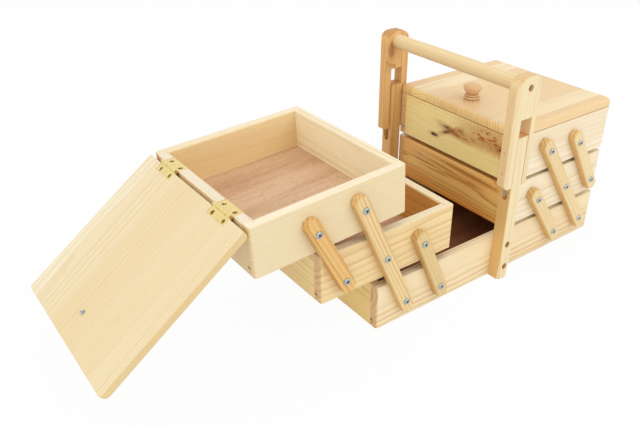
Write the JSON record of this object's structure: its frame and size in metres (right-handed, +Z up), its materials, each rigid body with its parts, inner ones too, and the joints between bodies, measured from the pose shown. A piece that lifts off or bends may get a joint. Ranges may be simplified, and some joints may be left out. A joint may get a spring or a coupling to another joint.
{
  "type": "sewing carrier",
  "caption": "Wooden cantilever sewing carrier: trays on folding arms open to both sides of a bottom box, with hinged lids and a sliding dowel handle.",
  "frame": {"origin": "middle of the bottom box's footprint, on the surface that the carrier stands on", "axes": "+Z up; X along the box, the way the trays swing out, with the opened half towards -X; Y across the box, -Y is the front"},
  "size_m": [0.6857, 0.229, 0.2595],
  "materials": {
    "board_pine": "clear satin varnish",
    "lid_pine": "clear satin varnish",
    "arm_pine": "clear satin varnish",
    "post_pine": "clear satin varnish",
    "plywood": "bare sanded",
    "turned_wood": "clear satin varnish",
    "screw_zinc": "zinc plated",
    "brass": "polished"
  },
  "bodies": {
    "root": {"box_front_side": "board_pine", "box_back_side": "board_pine", "box_left_end": "board_pine", "box_right_end": "board_pine", "box_floor": "plywood", "box_arm_screws": "screw_zinc", "front_post": "post_pine", "back_post": "post_pine", "post_screws": "screw_zinc"},
    "handle": {"handle_front_fork": "post_pine", "handle_back_fork": "post_pine", "handle_grip": "turned_wood", "handle_guide_pegs": "turned_wood", "handle_grip_screws": "screw_zinc"},
    "left_long_arms": {"left_long_arms": "arm_pine"},
    "left_lower_arms": {"left_lower_arms": "arm_pine"},
    "left_middle_tray": {"left_middle_front_side": "board_pine", "left_middle_back_side": "board_pine", "left_middle_inner_end": "board_pine", "left_middle_outer_end": "board_pine", "left_middle_floor": "plywood", "left_middle_arm_screws": "screw_zinc"},
    "left_upper_arms": {"left_upper_arms": "arm_pine"},
    "left_upper_tray": {"left_upper_front_side": "board_pine", "left_upper_back_side": "board_pine", "left_upper_inner_end": "board_pine", "left_upper_outer_end": "board_pine", "left_upper_floor": "plywood", "left_upper_arm_screws": "screw_zinc", "left_hinge_tray_leaves": "brass", "left_hinge_pins": "brass", "left_hinge_tray_screws": "brass"},
    "left_lid": {"left_lid_panel": "lid_pine", "left_lid_knob": "turned_wood", "left_lid_knob_screw": "screw_zinc", "left_hinge_lid_leaves": "brass", "left_hinge_lid_screws": "brass"},
    "right_long_arms": {"right_long_arms": "arm_pine"},
    "right_lower_arms": {"right_lower_arms": "arm_pine"},
    "right_middle_tray": {"right_middle_front_side": "board_pine", "right_middle_back_side": "board_pine", "right_middle_inner_end": "board_pine", "right_middle_outer_end": "board_pine", "right_middle_floor": "plywood", "right_middle_arm_screws": "screw_zinc"},
    "right_upper_arms": {"right_upper_arms": "arm_pine"},
    "right_upper_tray": {"right_upper_front_side": "board_pine", "right_upper_back_side": "board_pine", "right_upper_inner_end": "board_pine", "right_upper_outer_end": "board_pine", "right_upper_floor": "plywood", "right_upper_arm_screws": "screw_zinc", "right_hinge_tray_leaves": "brass", "right_hinge_pins": "brass", "right_hinge_tray_screws": "brass"},
    "right_lid": {"right_lid_panel": "lid_pine", "right_lid_knob": "turned_wood", "right_lid_knob_screw": "screw_zinc", "right_hinge_lid_leaves": "brass", "right_hinge_lid_screws": "brass"}
  },
  "joints": [
    {"name": "handle_slide", "type": "slide", "parent": "root", "child": "handle", "axis": [0, 0, 1], "range_m": [-0.019, 0]},
    {"name": "left_fold", "type": "hinge", "parent": "root", "child": "left_long_arms", "pos_m": [-0.155, 0, 0.0295], "axis": [0, -1, 0], "range_deg": [-60, 9]},
    {"name": "left_middle_tray_level", "type": "hinge", "parent": "left_long_arms", "child": "left_middle_tray", "pos_m": [-0.18601, 0, 0.09779], "axis": [0, -1, 0], "range_deg": [-9.5, 60.5]},
    {"name": "left_upper_tray_level", "type": "hinge", "parent": "left_long_arms", "child": "left_upper_tray", "pos_m": [-0.21702, 0, 0.16608], "axis": [0, -1, 0], "range_deg": [-9.01, 57.2]},
    {"name": "left_lower_arms_swing", "type": "hinge", "parent": "root", "child": "left_lower_arms", "pos_m": [-0.102, 0, 0.0275], "axis": [0, -1, 0], "range_deg": [-60.5, 9.5]},
    {"name": "left_upper_arms_swing", "type": "hinge", "parent": "left_middle_tray", "child": "left_upper_arms", "pos_m": [-0.23951, 0, 0.09229], "axis": [0, -1, 0], "range_deg": [-60.02, 9.43]},
    {"name": "left_lid_hinge", "type": "hinge", "parent": "left_upper_tray", "child": "left_lid", "pos_m": [-0.34324, 0, 0.18594], "axis": [0, -1, 0], "range_deg": [-213.5, 0]},
    {"name": "right_fold", "type": "hinge", "parent": "root", "child": "right_long_arms", "pos_m": [0.155, 0, 0.0295], "axis": [0, 1, 0], "range_deg": [0, 69]},
    {"name": "right_middle_tray_level", "type": "hinge", "parent": "right_long_arms", "child": "right_middle_tray", "pos_m": [0.11137, 0, 0.0905], "axis": [0, 1, 0], "range_deg": [-69.5, 0.5]},
    {"name": "right_upper_tray_level", "type": "hinge", "parent": "right_long_arms", "child": "right_upper_tray", "pos_m": [0.06773, 0, 0.1515], "axis": [0, 1, 0], "range_deg": [-65.7, 0.5]},
    {"name": "right_lower_arms_swing", "type": "hinge", "parent": "root", "child": "right_lower_arms", "pos_m": [0.102, 0, 0.0275], "axis": [0, 1, 0], "range_deg": [-0.5, 69.5]},
    {"name": "right_upper_arms_swing", "type": "hinge", "parent": "right_middle_tray", "child": "right_upper_arms", "pos_m": [0.16487, 0, 0.085], "axis": [0, 1, 0], "range_deg": [-0.5, 68.95]},
    {"name": "right_lid_hinge", "type": "hinge", "parent": "right_upper_tray", "child": "right_lid", "pos_m": [0.1926, 0, 0.1786], "axis": [0, 1, 0], "range_deg": [0, 213.5]}
  ],
  "couplings": [
    {"joint": "left_middle_tray_level", "follows": "left_fold", "ratio": -1},
    {"joint": "left_upper_tray_level", "follows": "left_fold", "ratio": -0.945},
    {"joint": "left_lower_arms_swing", "follows": "left_fold", "ratio": 1},
    {"joint": "left_upper_arms_swing", "follows": "left_fold", "ratio": 0.992},
    {"joint": "right_middle_tray_level", "follows": "right_fold", "ratio": -1},
    {"joint": "right_upper_tray_level", "follows": "right_fold", "ratio": -0.945},
    {"joint": "right_lower_arms_swing", "follows": "right_fold", "ratio": 1},
    {"joint": "right_upper_arms_swing", "follows": "right_fold", "ratio": 0.992}
  ]
}
